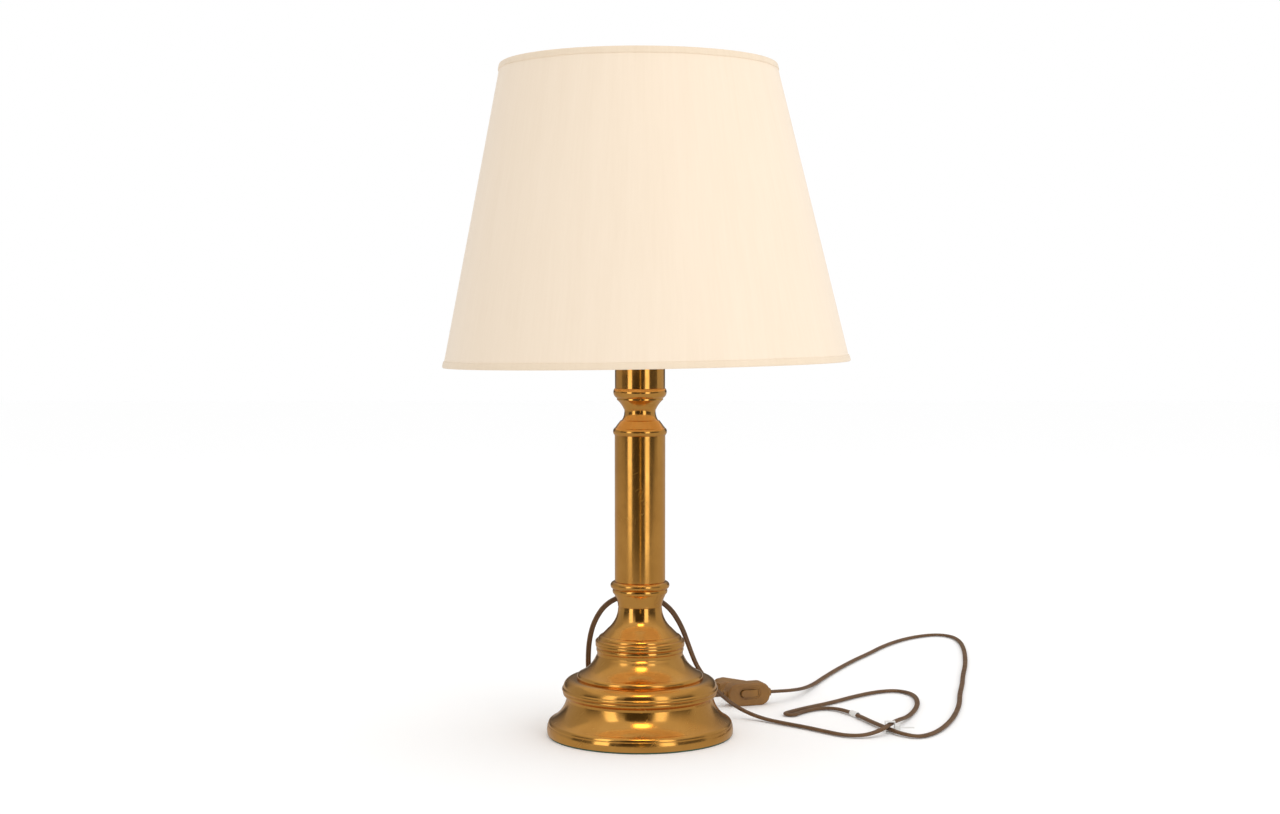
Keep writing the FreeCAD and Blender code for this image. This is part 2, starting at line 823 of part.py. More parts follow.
def make_plug():
    nose = plug_nose_width / 2
    wide = plug_width / 2
    start = plug_shoulder / 3
    bend_x = (start + plug_shoulder) / 2 + plug_hollow / 2
    bend_y = (nose + wide) / 2 - plug_hollow
    edges = [
        Part.makeLine(V(0, -nose, 0), V(start, -nose, 0)),
        Part.Arc(V(start, -nose, 0), V(bend_x, -bend_y, 0), V(plug_shoulder, -wide, 0)).toShape(),
        Part.makeLine(V(plug_shoulder, -wide, 0), V(plug_length, -wide, 0)),
        Part.makeLine(V(plug_length, -wide, 0), V(plug_length, wide, 0)),
        Part.makeLine(V(plug_length, wide, 0), V(plug_shoulder, wide, 0)),
        Part.Arc(V(plug_shoulder, wide, 0), V(bend_x, bend_y, 0), V(start, nose, 0)).toShape(),
        Part.makeLine(V(start, nose, 0), V(0, nose, 0)),
        Part.makeLine(V(0, nose, 0), V(0, -nose, 0)),
    ]
    body = Part.Face(Part.Wire(edges)).extrude(UP * plug_thickness)
    body.translate(V(0, 0, -plug_thickness / 2))
    long_sides = [edge for edge in body.Edges
                  if abs(edge.CenterOfMass.z) > plug_thickness / 2 - 0.01 and edge.BoundBox.XMax > 1]
    body = body.makeFillet(plug_corner, long_sides)
    for side in (-1, 1):
        root = V(plug_length - pin_root, side * pin_spacing / 2, 0)
        body = body.cut(Part.makeCylinder(pin_radius + running_gap / 3, pin_root + 1, root, V(1, 0, 0)))
    return in_plug(body)


def make_pins():
    pins = []
    for side in (-1, 1):
        root = V(plug_length - pin_root, side * pin_spacing / 2, 0)
        pin = Part.makeCylinder(pin_radius, pin_root + pin_length, root, V(1, 0, 0))
        tip = [edge for edge in pin.Edges if edge.CenterOfMass.x > root.x + pin_root + pin_length - 0.01]
        pins.append(in_plug(pin.makeFillet(pin_tip, tip)))
    return Part.Compound(pins)


# ---- Flex from the foot to the switch, hidden behind the foot
bushing_face_y = foot_radius + bushing_flange
lamp_flex = [
    V(0, bushing_face_y, bushing_z),
    V(0, bushing_face_y + flex_lead, bushing_z),
    V(-5, 116, 4.6),
    V(-12, 129, 2.5),
    V(-13, 143, 2.3),
    V(-6, 155, 2.3),
    V(6, 161.5, 2.3),
    V(21, 160, 2.3),
    V(42, 148, 2.6),
    V(56, 138.5, 5.0),
    V(68, 131.5, 9.6),
    switch_end(-1, flex_lead),
    switch_end(-1),
]

# ---- Flex from the switch to the plug
far_loop = [
    switch_end(1),
    switch_end(1, flex_lead),
    V(161, 162, 11.0),
    V(177, 190, 7.3),
    V(193, 236, 3.0),
    V(211, 287, 2.3),
    V(233, 341, 2.3),
    V(256.5, 393, 2.3),
    V(281, 441, 2.3),
    V(302, 487, 2.3),
    V(327, 529, 2.3),
    V(354, 561, 2.3),
    V(383, 578, 2.3),
    V(401, 563, 2.3),
    V(405, 526, 2.3),
    V(401, 474, 2.3),
    V(393, 416, 2.3),
    V(383, 357, 2.3),
    V(370.5, 299, 2.3),
    V(360, 242, 2.3),
    V(348, 187, 2.3),
    V(338.5, 132, 2.3),
    V(325, 78, 2.3),
    V(309, 30, 2.3),
    V(291, -8, 2.3),
    V(272, -27, 2.4),
    V(256, -13, 3.0),
]
near_loop = [
    V(248, 4, 3.4),
    V(241, 21, 3.4),
    V(233.5, 42, 3.1),
    V(226.5, 64, 3.1),
    V(216, 91, 3.1),
    V(204, 110, 2.5),
    V(187, 111, 2.3),
    V(173, 98.5, 2.3),
    V(164, 86.5, 2.3),
    V(159.5, 78, 2.3),
    V(152.6, 78.5, 2.3),
    V(149.8, 84.8, 2.3),
    V(156.5, 93.5, 2.3),
    V(167, 105.5, 2.3),
    V(182, 120.5, 2.3),
    V(204, 141, 2.3),
    V(231, 173, 2.3),
    V(258, 199, 2.3),
    V(282, 208, 2.3),
    V(297, 188, 2.3),
    V(297, 149, 2.3),
    V(289, 108, 2.3),
    V(275, 67, 2.6),
    V(259, 30, 7.0),
]
climb = [
    V(248.5, 5, 8.6),
    V(238, -12, 6.2),
    V(220, -23, 3.0),
    V(201, -19, 2.3),
    V(184, -1.5, 2.3),
    V(166, 19, 2.3),
    V(146, 37, 2.3),
    V(127, 55, 2.7),
    V(110, 69, 6.4),
    V(95, 75, 14),
    V(81.5, 68, 26.5),
    V(69, 58, 41),
    V(57.5, 47.5, 58),
    V(49.3, 38, 80.5),
    V(42, 31.5, 101.5),
    V(30, 28.5, 121.5),
    V(11, 27.5, 133.5),
    V(-13, 27.5, 135),
    V(-34, 26, 126),
    V(-46, 30, 107.5),
    V(-51, 37, 88),
    V(-52.5, 46, 69),
    V(-52.5, 58, 50),
    V(-52.5, 74, 32.5),
    V(-54, 94, 16),
    V(-57, 118, 5),
    V(-57, 143, 2.3),
    V(-44, 166, 2.3),
    V(-20, 181, 2.3),
    V(8, 186, 2.3),
    V(35, 180, 2.4),
    V(58, 171, 3.4),
    plug_end - direction(plug_yaw) * plug_lead,
    plug_end,
]
plug_flex = far_loop + near_loop + climb


def make_marker():
    run = (near_loop[3], near_loop[4])
    along = (run[1] - run[0]).normalize()
    middle = (run[0] + run[1]) / 2
    start = middle - along * (marker_length / 2)
    inner = flex_radius + running_gap
    sleeve = Part.makeCylinder(inner + marker_thickness, marker_length, start, along)
    return sleeve.cut(Part.makeCylinder(inner, marker_length, start, along))


def make_tie():
    room_height = 4 * flex_radius + tie_slack
    outer = V(tie_room + 2 * tie_thickness, tie_width, room_height + 2 * tie_thickness)
    centre = tie_centre + UP * (outer.z / 2)
    band = box_on(centre, outer).cut(box_on(centre, V(tie_room, 2 * tie_width, room_height)))
    side = tie_centre.x + outer.x / 2
    head = box_on(V(side + tie_head / 2, tie_centre.y, tie_head), V(tie_head, tie_width, tie_head))
    tail = box_on(V(side + tie_head + tie_tail / 2, tie_centre.y, tie_head),
                  V(tie_tail, tie_tail_width, tie_thickness))
    return band.fuse([head, tail])


def make_bushing():
    inner_y = foot_radius - rim_wall - pad_thickness
    face = V(0, bushing_face_y, bushing_z)
    back = V(0, -1, 0)
    flange = Part.makeCylinder(bushing_flange_radius, bushing_flange - 2 * running_gap, face, back)
    barrel = Part.makeCylinder(bushing_hole_radius, bushing_face_y - inner_y, face, back)
    return flange.fuse(barrel)


save("base_pad", turned((0, 0), (pad_radius, 0), (pad_radius, pad_thickness), (0, pad_thickness)))
save("foot", make_foot())
save("bell", make_bell())
save("neck", make_neck())
save("column", make_column())
save("capital", make_capital())
save("cup", make_cup())
save("threaded_rod", washer(rod_bore_radius, rod_radius, rod_z, rod_top_z - rod_z))
save("lower_nut", hexagon_nut(lower_nut_z))
save("lower_washer", washer(rod_hole_radius, washer_radius, washer_z, washer_thickness))
save("ballast", washer(rod_hole_radius, ballast_radius, ballast_z, ballast_thickness))
save("cup_nut", hexagon_nut(cup_z + cup_floor))
save("holder_nut", hexagon_nut(cap_z - nut_height))
save("holder_cap", make_holder_cap())
save("holder_shell", make_holder_shell())
save("holder_core", make_holder_core())
save("holder_sleeve", washer(sleeve_radius - sleeve_wall, sleeve_radius, contact_z, sleeve_height))
save("holder_contact", Part.makeCylinder(contact_radius, contact_thickness, V(0, 0, contact_z)))
save("shade_seat_ring", make_seat_ring())
save("shade_clamp_ring", make_clamp_ring())
save("shade_fitter", washer(holder_radius + fitter_slack, fitter_radius, fitter_z, fitter_thickness))
for index in range(arm_count):
    angle = arm_first_angle + 360.0 * index / arm_count
    save("shade_arm_%d" % (index + 1), tube(arm_points(angle), wire_radius))
save("shade_bottom_wire", shade_wire(wire_share, wire_depth))
save("shade_top_wire", shade_wire(1 - wire_share, wire_depth))
save("shade_skin", shade_band(0, 1, trim_thickness, trim_thickness + skin_thickness))
save("shade_bottom_trim", shade_band(0, trim_share, 0, trim_thickness))
save("shade_top_trim", shade_band(1 - trim_share, 1, 0, trim_thickness))
save("bulb_contact", make_bulb_contact())
save("bulb_cap", make_bulb_cap())
save("bulb_glass", make_bulb_glass())
save("bulb_stem", make_bulb_stem())
save("bulb_filament", make_filament())
save("cord_bushing", make_bushing())
switch_front, switch_back = make_switch_halves()
save("switch_front", switch_front)
save("switch_back", switch_back)
save("switch_rocker", make_rocker())
save("switch_screws", make_screws())
save("plug_body", make_plug())
save("plug_pins", make_pins())
save("lamp_flex", tube(lamp_flex, flex_radius))
save("plug_flex", tube(plug_flex, flex_radius))
save("marker_sleeve", make_marker())
save("cable_tie", make_tie())

for name, shape in written:
    box = shape.optimalBoundingBox()
    print("%-18s solids %d valid %s volume %.0f z %.1f to %.1f"
          % (name, len(shape.Solids), shape.isValid(), shape.Volume, box.ZMin, box.ZMax))
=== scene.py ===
import bpy
import bmesh
import math
import random
from mathutils import Matrix, Vector


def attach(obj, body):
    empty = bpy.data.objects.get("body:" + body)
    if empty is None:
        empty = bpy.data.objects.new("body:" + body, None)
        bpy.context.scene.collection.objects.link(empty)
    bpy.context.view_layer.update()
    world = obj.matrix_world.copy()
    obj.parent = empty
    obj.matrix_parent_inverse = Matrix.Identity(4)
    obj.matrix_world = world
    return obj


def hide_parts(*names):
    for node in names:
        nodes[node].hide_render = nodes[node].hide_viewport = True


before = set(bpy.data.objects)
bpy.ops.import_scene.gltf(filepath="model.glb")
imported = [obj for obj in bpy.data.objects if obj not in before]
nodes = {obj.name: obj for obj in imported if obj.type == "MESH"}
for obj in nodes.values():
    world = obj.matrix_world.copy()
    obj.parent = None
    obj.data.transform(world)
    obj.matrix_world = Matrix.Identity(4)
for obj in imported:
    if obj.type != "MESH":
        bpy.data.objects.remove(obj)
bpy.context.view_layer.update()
mm = 0.001
print("frame loaded")

# A brass candlestick lamp: turned brass, a cone of cream cloth, brown twin flex with its switch and plug.


# camera, a little above the shade's lower edge
viewpoint = {"place": (0.0, -1.8674, 0.4113), "downTilt": 0.0469, "lens": 53.53}

cameraData = bpy.data.cameras.new("viewpoint")
cameraData.lens = viewpoint["lens"]
cameraData.sensor_width = 36
cameraData.clip_start = 0.05
cameraData.clip_end = 50
camera = bpy.data.objects.new("viewpoint", cameraData)
camera.location = viewpoint["place"]
camera.rotation_euler = (math.pi / 2 - viewpoint["downTilt"], 0, 0)
bpy.context.collection.objects.link(camera)
bpy.context.scene.camera = camera
print("camera placed")


# building
def addMesh(name, points, faces, smooth=True):
    mesh = bpy.data.meshes.new(name)
    mesh.from_pydata([tuple(p) for p in points], [], faces)
    mesh.validate()
    if smooth:
        mesh.shade_smooth()
    piece = bpy.data.objects.new(name, mesh)
    bpy.context.collection.objects.link(piece)
    return piece


def facesOut(piece):
    bm = bmesh.new()
    bm.from_mesh(piece.data)
    bmesh.ops.recalc_face_normals(bm, faces=bm.faces)
    bm.to_mesh(piece.data)
    bm.free()


def arcPoints(start, end, bulge, pitch=1.0):
    # An arc from start to end; going up, a positive bulge swells away from the axis.
    dr, dz = end[0] - start[0], end[1] - start[1]
    chord = math.hypot(dr, dz)
    rise = bulge * chord
    if abs(bulge) < 1e-6:
        return [end]
    radius = (chord * chord / 4 + rise * rise) / (2 * abs(rise))
    side = 1 if bulge > 0 else -1
    middle = Vector(((start[0] + end[0]) / 2, (start[1] + end[1]) / 2))
    out = Vector((dz, -dr)) / chord * side
    centre = middle + out * (abs(rise) - radius)
    a = Vector(start[:2]) - centre
    b = Vector(end[:2]) - centre
    sweep = math.atan2(a.x * b.y - a.y * b.x, a.dot(b))
    steps = max(6, int(abs(sweep) * radius / pitch))
    made = []
    for i in range(1, steps + 1):
        t = sweep * i / steps
        made.append((centre.x + a.x * math.cos(t) - a.y * math.sin(t),
                     centre.y + a.x * math.sin(t) + a.y * math.cos(t)))
    return made


rounding = {"leastTurn": 14, "share": 0.42, "steps": 4, "longestRun": 3.0}


def turnedOutline(outline, ease=0.25):
    # The outline as points, with each sharp corner rounded by ease.
    line = [outline[0][:2]]
    for step in list(outline[1:]) + [outline[0][:2]]:
        line += arcPoints(line[-1], step[:2], step[2]) if len(step) == 3 else [step[:2]]
    line = line[:-1]
    rounded = []
    count = len(line)
    for i, corner in enumerate(line):
        before, after = Vector(line[i - 1]), Vector(line[(i + 1) % count])
        here = Vector(corner)
        turn = (here - before).angle(after - here, 0)
        if turn < math.radians(rounding["leastTurn"]):
            rounded.append(here)
            continue
        nearest = min((here - before).length, (after - here).length)
        reach = min(ease, rounding["share"] * nearest)
        a = here + (before - here).normalized() * reach
        b = here + (after - here).normalized() * reach
        for k in range(rounding["steps"] + 1):
            t = k / rounding["steps"]
            rounded.append(a * (1 - t) ** 2 + here * 2 * t * (1 - t) + b * t ** 2)
    return rounded


def turnedPiece(name, outline, around=216, ease=0.25, wave=None):
    # Turns a closed outline, in millimetres, about the lamp's axis, with its long runs divided.
    ring = turnedOutline(outline, ease)
    closed = []
    for i, p in enumerate(ring):
        q = ring[(i + 1) % len(ring)]
        closed.append(p)
        extra = int((q - p).length / rounding["longestRun"])
        for k in range(1, extra + 1):
            closed.append(p.lerp(q, k / (extra + 1)))
    points, faces = [], []
    count = len(closed)
    for j in range(around):
        angle = 2 * math.pi * j / around
        c, s = math.cos(angle), math.sin(angle)
        for p in closed:
            r = p.x + (wave(p.x, p.y, angle) if wave else 0)
            points.append((r * c * mm, r * s * mm, p.y * mm))
    for j in range(around):
        k = (j + 1) % around
        for i in range(count):
            n = (i + 1) % count
            faces.append((j * count + i, k * count + i, k * count + n, j * count + n))
    piece = addMesh(name, points, faces)
    facesOut(piece)
    weighted = piece.modifiers.new("evenNormals", "WEIGHTED_NORMAL")
    weighted.weight = 80
    return piece


def standIn(piece, body, *replaced):
    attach(piece, body)
    if replaced:
        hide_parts(*replaced)
    return piece


# cords: flat twin flex, first behind the foot to the switch, then out in loops to the plug
flex = {"core": 1.6, "apart": 1.05, "switchMiddle": (113.5, 142, 12), "switchYaw": 18.0,
        "switchReach": 26.5, "lead": 9.0, "plugEnd": (83.0, 190.0, 7.0), "plugYaw": 50.0, "plugLead": 14.0,
        "overHeight": 0.09, "steep": 0.45, "easeSpan": 9}


def alongYaw(yaw):
    return Vector((math.cos(math.radians(yaw)), math.sin(math.radians(yaw)), 0))


switchMiddle = Vector(flex["switchMiddle"])
switchWay = alongYaw(flex["switchYaw"])
plugEnd = Vector(flex["plugEnd"])
plugWay = alongYaw(flex["plugYaw"])


def switchEnd(side, beyond=0.0):
    return switchMiddle + switchWay * side * (flex["switchReach"] + beyond)


lampFlexRoute = [
    (0, 93.3, 7.2), (0, 102.3, 7.2), (-5, 116, 4.6), (-12, 129, 2.5), (-13, 143, 2.3), (-6, 155, 2.3),
    (6, 161.5, 2.3), (21, 160, 2.3), (42, 148, 2.6), (56, 138.5, 5.0), (68, 131.5, 9.6),
    switchEnd(-1, flex["lead"]), switchEnd(-1),
]
plugFlexRoute = [
    switchEnd(1), switchEnd(1, flex["lead"]),
    (161, 162, 11.0), (177, 190, 7.3), (193, 236, 3.0), (211, 287, 2.3), (233, 341, 2.3), (256.5, 393, 2.3),
    (281, 441, 2.3), (302, 487, 2.3), (327, 529, 2.3), (354, 561, 2.3), (383, 578, 2.3), (401, 563, 2.3),
    (405, 526, 2.3), (401, 474, 2.3), (393, 416, 2.3), (383, 357, 2.3), (370.5, 299, 2.3), (360, 242, 2.3),
    (348, 187, 2.3), (338.5, 132, 2.3), (325, 78, 2.3), (309, 30, 2.3), (291, -8, 2.3), (272, -27, 2.4),
    (256, -13, 3.0),
    (248, 4, 3.4), (241, 21, 3.4), (233.5, 42, 3.1), (226.5, 64, 3.1), (216, 91, 3.1), (204, 110, 2.5),
    (187, 111, 2.3), (173, 98.5, 2.3), (164, 86.5, 2.3), (159.5, 78, 2.3), (152.6, 78.5, 2.3),
    (149.8, 84.8, 2.3), (156.5, 93.5, 2.3), (167, 105.5, 2.3), (182, 120.5, 2.3), (204, 141, 2.3),
    (231, 173, 2.3), (258, 199, 2.3), (282, 208, 2.3), (297, 188, 2.3), (297, 149, 2.3), (289, 108, 2.3),
    (275, 67, 2.6), (259, 30, 7.0),
    (248.5, 5, 8.6), (238, -12, 6.2), (220, -23, 3.0), (201, -19, 2.3), (184, -1.5, 2.3), (166, 19, 2.3),
    (146, 37, 2.3), (127, 55, 2.7), (110, 69, 6.4), (95, 75, 14), (81.5, 68, 26.5), (69, 58, 41),
    (57.5, 47.5, 58), (49.3, 38, 80.5), (42, 31.5, 101.5), (30, 28.5, 121.5), (11, 27.5, 133.5),
    (-13, 27.5, 135), (-34, 26, 126), (-46, 30, 107.5), (-51, 37, 88), (-52.5, 46, 69), (-52.5, 58, 50),
    (-52.5, 74, 32.5), (-54, 94, 16), (-57, 118, 5), (-57, 143, 2.3), (-44, 166, 2.3), (-20, 181, 2.3),
    (8, 186, 2.3), (35, 180, 2.4), (58, 171, 3.4),
    plugEnd - plugWay * flex["plugLead"], plugEnd,
]


def smoothLine(name, route):
    # The points of a NURBS spline that has this route as its control points.
    curve = bpy.data.curves.new(name + "Line", "CURVE")
    curve.dimensions = "3D"
    curve.resolution_u = 14
    spline = curve.splines.new("NURBS")
    spline.points.add(len(route) - 1)
    for point, place in zip(spline.points, route):
        point.co = (place[0] * mm, place[1] * mm, place[2] * mm, 1)
    spline.order_u = 3
    spline.use_endpoint_u = True
    guide = bpy.data.objects.new(name + "Line", curve)
    bpy.context.collection.objects.link(guide)
    bpy.context.view_layer.update()
    mesh = bpy.data.meshes.new_from_object(guide.evaluated_get(bpy.context.evaluated_depsgraph_get()))
    line = [v.co.copy() for v in mesh.vertices]
    bpy.data.objects.remove(guide)
    bpy.data.meshes.remove(mesh)
    return line


def flatSides(line):
    # The way up of the flat section at each point: level on the floor, broad side forward high up.
    ways = []
    for i in range(len(line)):
        ways.append((line[min(i + 1, len(line) - 1)] - line[max(i - 1, 0)]).normalized())
    up = (Vector((0, 0, 1)) - ways[0] * ways[0].z).normalized()
    carried = [up]
    for a, b in zip(ways, ways[1:]):
        up = a.rotation_difference(b) @ up
        up = (up - b * up.dot(b)).normalized()
        carried.append(up)
    known = []
    last = 0.0
    for i, (here, way, up) in enumerate(zip(line, ways, carried)):
        if abs(way.z) > flex["steep"]:
            continue
        over = Vector((0, 1, 0)) if here.z > flex["overHeight"] else Vector((0, 0, 1))
        level = (over - way * over.dot(way)).normalized()
        turn = math.atan2(up.cross(level).dot(way), up.dot(level))
        turn += math.pi * round((last - turn) / math.pi)   # a flat section looks the same upside down
        known.append((i, turn))
        last = turn
    turns = []
    k = 0
    for i in range(len(line)):
        while k + 1 < len(known) and known[k + 1][0] <= i:
            k += 1
        a = known[k]
        b = known[min(k + 1, len(known) - 1)]
        share = 0 if b[0] == a[0] else min(1, max(0, (i - a[0]) / (b[0] - a[0])))
        turns.append(a[1] + (b[1] - a[1]) * share)
    span = flex["easeSpan"]
    eased = []
    for i in range(len(turns)):
        near = turns[max(0, i - span):i + span + 1]
        eased.append(sum(near) / len(near))
    return ways, [Matrix.Rotation(t, 3, w) @ u for t, w, u in zip(eased, ways, carried)]


def twinSection(count=14):
    # Most of the way round one core, then as far round the other, with a groove between them.
    core, apart = flex["core"], flex["apart"]
    halfArc = math.acos(-apart / core)
    section = []
    for side in (1, -1):
        for k in range(count):
            t = -halfArc + 2 * halfArc * k / (count - 1)
            x = apart + core * math.cos(t)
            y = core * math.sin(t)
            section.append((side * x, side * y))
    return section


def twinFlex(name, route):
    line = smoothLine(name, route)
    ways, ups = flatSides(line)
    section = twinSection()
    count = len(section)
    points, faces = [], []
    for here, way, up in zip(line, ways, ups):
        across = way.cross(up)
        points += [here + (across * x + up * y) * mm for x, y in section]
    for i in range(len(line) - 1):
        for k in range(count):
            n = (k + 1) % count
            faces.append((i * count + k, i * count + n, (i + 1) * count + n, (i + 1) * count + k))
    faces.append(tuple(range(count)))
    faces.append(tuple((len(line) - 1) * count + k for k in reversed(range(count))))
    piece = addMesh(name, points, faces)
    facesOut(piece)
    return piece, line


def lineLength(line):
    return sum((b - a).length for a, b in zip(line, line[1:]))


lampFlex, lampFlexLine = twinFlex("lampFlex", lampFlexRoute)
plugFlex, plugFlexLine = twinFlex("plugFlex", plugFlexRoute)
standIn(lampFlex, "lamp_base", "lamp_flex")
standIn(plugFlex, "lamp_base", "plug_flex")
print("flex laid, %.3f and %.3f m" % (lineLength(lampFlexLine), lineLength(plugFlexLine)))


# turned brass: the same outlines as the solids, with their edges eased
footOutline = [
    (88.5, 1.5), (91.7, 1.5), (91.3, 10.4, 0.06), (90.9, 10.6), (88.0, 14.9, 0.18), (72.7, 35.5, -0.102),
    (72.7, 38.0), (73.6, 38.9), (75.9, 43.3, 0.25), (75.9, 47.7, 0.28), (66.0, 56.2, 0.2), (56.0, 56.2),
    (56.0, 53.6), (66.1, 53.6), (70.1, 49.6), (70.1, 37.4), (64.1, 37.4), (64.1, 34.4), (70.1, 34.4),
    (85.4, 12.3, 0.102), (88.5, 8.9),
]
bellOutline = [
    (53.2, 53.2), (55.7, 53.2), (55.7, 56.2), (62.2, 56.2), (60.0, 61.0, 0.2), (43.6, 77.5, -0.095),
    (42.4, 79.4), (42.4, 82.6), (42.7, 86.7, 0.15), (43.7, 90.8, 0.17), (41.6, 94.9, 0.30),
    (38.0, 99.0, 0.14), (5.3, 99.0), (5.3, 96.5), (38.9, 95.5), (39.9, 82.6), (39.9, 78.4),
    (53.2, 64.0, 0.095),
]
neckOutline = [
    (34.3, 99.0), (37.8, 99.0), (31.5, 105.3), (21.7, 125.1, -0.1), (21.4, 127.35), (21.9, 127.55),
    (21.9, 129.6), (25.9, 139.9, -0.03), (26.3, 139.9), (26.3, 144.9, 0.17), (27.5, 144.9),
    (25.5, 151.9, 0.36), (22.6, 151.9), (22.6, 156.9), (5.3, 156.9), (5.3, 144.9), (18.2, 139.9),
    (18.2, 121.6), (28.0, 105.3, 0.1),
]
columnOutline = [(22.9, 151.9), (24.9, 151.9), (24.9, 296.0), (22.9, 296.0)]
capitalOutline = [
    (5.3, 291.0), (22.6, 291.0), (22.6, 296.0), (24.9, 296.0), (25.4, 302.8, 0.2), (24.8, 303.1),
    (19.2, 310.5), (17.9, 310.8), (15.5, 321.3, -0.09), (15.8, 321.6), (22.0, 330.3, -0.05), (22.7, 330.6),
    (22.7, 332.4), (23.0, 332.7), (25.2, 341.9, 0.21), (5.3, 341.9),
]
cupOutline = [(5.3, 341.9), (24.6, 341.9), (24.6, 395.9), (23.1, 395.9), (23.1, 344.4), (5.3, 344.4)]

brassPieces = []
for pieceName, outline, node, ease in (
        ("brassFoot", footOutline, "foot", 0.35), ("brassBell", bellOutline, "bell", 0.3),
        ("brassNeck", neckOutline, "neck", 0.25), ("brassColumn", columnOutline, "column", 0.2),
        ("brassCapital", capitalOutline, "capital", 0.25), ("brassCup", cupOutline, "cup", 0.3)):
    piece = turnedPiece(pieceName, outline, ease=ease)
    standIn(piece, "lamp_base", node)
    brassPieces.append(piece)
print("brass turned")


# lampholder and bulb threads
threads = {"holder": {"pitch": 3.0, "depth": 0.45, "low": 413.5, "high": 444.0, "least": 19.0},
           "cap": {"pitch": 3.63, "depth": 0.55, "low": 420.5, "high": 437.5, "least": 13.0},
           "fade": 2, "step": 0.35}


def helix(pitch, depth, low, high, least):
    def wave(r, z, angle):
        if r < least or not low < z < high:
            return 0.0
        fade = min(1.0, (z - low) / threads["fade"], (high - z) / threads["fade"])
        return -depth * fade * (0.5 + 0.5 * math.cos(2 * math.pi * z / pitch - angle))
    return wave


def fineSide(radius, low, high):
    count = int((high - low) / threads["step"])
    return [(radius, low + (high - low) * k / count) for k in range(count + 1)]


holderOutline = [(17.2, 399.9), (19.3, 399.9), (19.3, 409.9), (21.5, 409.9), (21.5, 411.9)] \
    + fineSide(19.3, 411.9, 445.1) + [(18.5, 445.9), (17.2, 445.9)]
capOutline = [(8.0, 417.4), (9.5, 417.4)] + fineSide(13.2, 419.4, 439.3) \
    + [(12.7, 439.4), (12.7, 420.4), (8.0, 420.4)]
holderShell = turnedPiece("holderShell", holderOutline, around=120, ease=0.2, wave=helix(**threads["holder"]))
standIn(holderShell, "lamp_base", "holder_shell")
bulbCap = turnedPiece("bulbCap", capOutline, around=120, ease=0.15, wave=helix(**threads["cap"]))
standIn(bulbCap, "bulb", "bulb_cap")
print("threads cut")


# shade: skin and its two folded trims
shade = {"topRadius": 135.5, "topZ": 657.0, "topX": -1.6, "footRadius": 199.7, "footZ": 366.0, "footX": 6.2,
         "footTilt": 1.0, "skinInset": 1.0, "skin": 0.8, "around": 360, "rows": 40,
         "sag": 0.18, "flutter": 0.10}


def shadePoint(share, angle, inset, up=0.0):
    # A point of the shade's outer side, in millimetres; share runs from foot to top.
    tilt = math.radians(shade["footTilt"])
    c, s = math.cos(angle), math.sin(angle)
    footR, topR = shade["footRadius"] - inset, shade["topRadius"] - inset
    foot = Vector((shade["footX"] + footR * c * math.cos(tilt), footR * s,
                   shade["footZ"] + footR * c * math.sin(tilt)))
    top = Vector((shade["topX"] + topR * c, topR * s, shade["topZ"]))
    here = foot.lerp(top, share)
    return here + (top - foot).normalized() * up


def shadeSkin():
    rows, around = shade["rows"], shade["around"]
    points, faces = [], []
    for inset in (shade["skinInset"], shade["skinInset"] + shade["skin"]):
        for i in range(rows + 1):
            for j in range(around):
                angle = 2 * math.pi * j / around
                share = i / rows
                give = shade["sag"] * math.sin(3 * angle + 1.1) * math.sin(math.pi * share) \
                    + shade["flutter"] * math.sin(7 * angle + 2 * share)
                lap = 0.0 if share in (0.0, 1.0) else give
                points.append(shadePoint(share, angle, inset - lap) * mm)
    block = (rows + 1) * around
    for i in range(rows):
        for j in range(around):
            k = (j + 1) % around
            a, b, c, d = i * around + j, i * around + k, (i + 1) * around + k, (i + 1) * around + j
            faces.append((a, b, c, d))
            faces.append((block + d, block + c, block + b, block + a))
    top = rows * around
    for j in range(around):
        k = (j + 1) % around
        faces.append((j, block + j, block + k, k))
        faces.append((top + j, top + k, block + top + k, block + top + j))
    piece = addMesh("shadeSkin", points, faces)
    facesOut(piece)
    piece.modifiers.new("evenNormals", "WEIGHTED_NORMAL")
    return piece


# a trim's section: inset from the outer side, and how far from the edge
trimSection = [
    (1.0, 6.4), (0.45, 6.35), (0.12, 6.0), (0.02, 5.2), (0.0, 3.6), (0.0, 1.8), (0.1, 0.8), (0.5, 0.25),
    (1.3, 0.05), (2.6, 0.1), (4.0, 0.25), (5.1, 0.8), (5.65, 1.9), (5.5, 3.1), (4.7, 3.95), (3.6, 4.4),
    (2.8, 5.2), (2.35, 6.6), (2.25, 8.4), (1.85, 8.7),
]
trim = {"ripple": ((0.10, 11), (0.07, 23)), "creep": ((0.16, 9), (0.10, 17)), "swell": 0.6,
        "hemFrom": 5.5, "hemTo": 6.5, "faceFrom": 0.8, "faceTo": 6, "faceInset": 0.3,
        "topSeed": 7, "bottomSeed": 3}


def wander(waves, phases, angle):
    return sum(size * math.sin(count * angle + phase) for (size, count), phase in zip(waves, phases))


